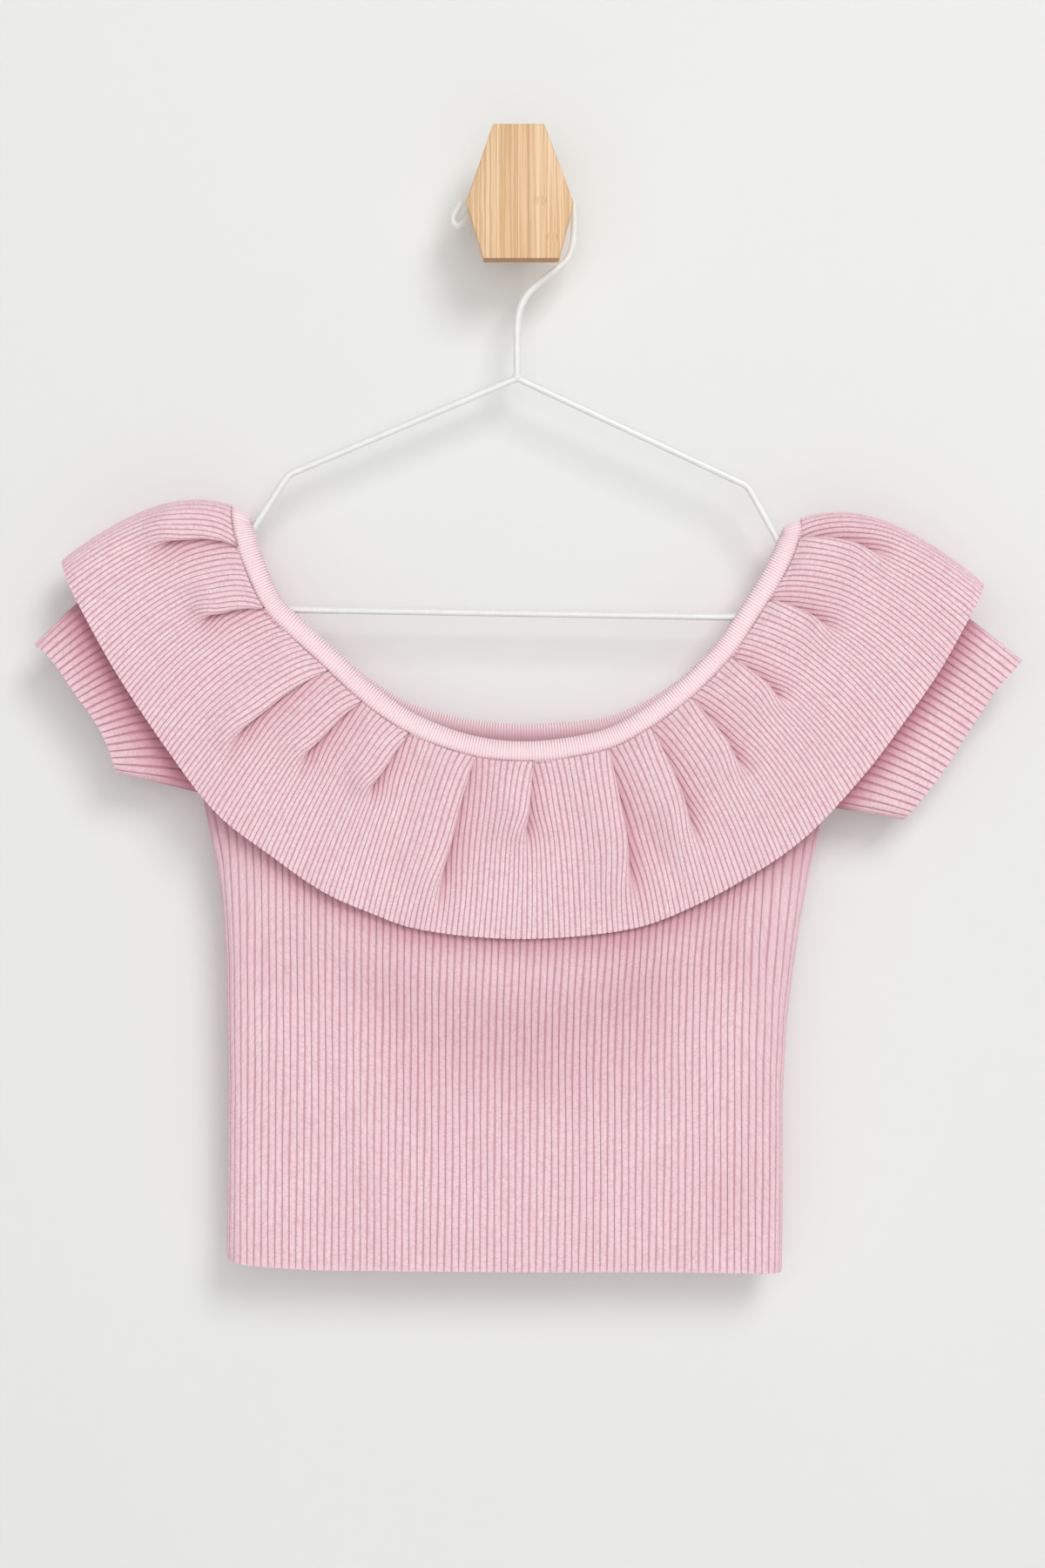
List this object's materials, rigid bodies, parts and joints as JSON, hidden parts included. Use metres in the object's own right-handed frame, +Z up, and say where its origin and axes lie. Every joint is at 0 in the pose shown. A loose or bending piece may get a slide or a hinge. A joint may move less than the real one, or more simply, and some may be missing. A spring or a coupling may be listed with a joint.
{
  "type": "off-shoulder top on a wire hanger and a wooden wall hook",
  "caption": "Rib-knit off-shoulder top with a tucked ruffle round its wide neck and short sleeves, hanging on a wire hanger from a wooden wall hook.",
  "frame": {"origin": "middle of the hook stem's flat back face, which lies on the wall", "axes": "+Y into the wall, +Z up, so the garment faces -Y with its own right sleeve at -X"},
  "size_m": [0.5135, 0.0503, 0.5922],
  "materials": {
    "rib_knit": "pale pink rib knit, matt and slightly fuzzy",
    "ruffle_knit": "pale pink fine rib knit",
    "band_knit": "pale pink fine cross-ribbed double knit",
    "white_lacquer": "satin white coated wire",
    "bamboo": "satin laminated bamboo"
  },
  "bodies": {
    "root": {"body_front": "rib_knit", "body_back": "rib_knit", "sleeve_left": "rib_knit", "sleeve_right": "rib_knit", "ruffle_front": "ruffle_knit", "ruffle_back": "ruffle_knit", "neckband": "band_knit", "hanger_hook": "white_lacquer", "hanger_arm_left": "white_lacquer", "hanger_arm_right": "white_lacquer", "hanger_bar": "white_lacquer", "hook_stem": "bamboo", "hook_plate": "bamboo"}
  },
  "joints": []
}
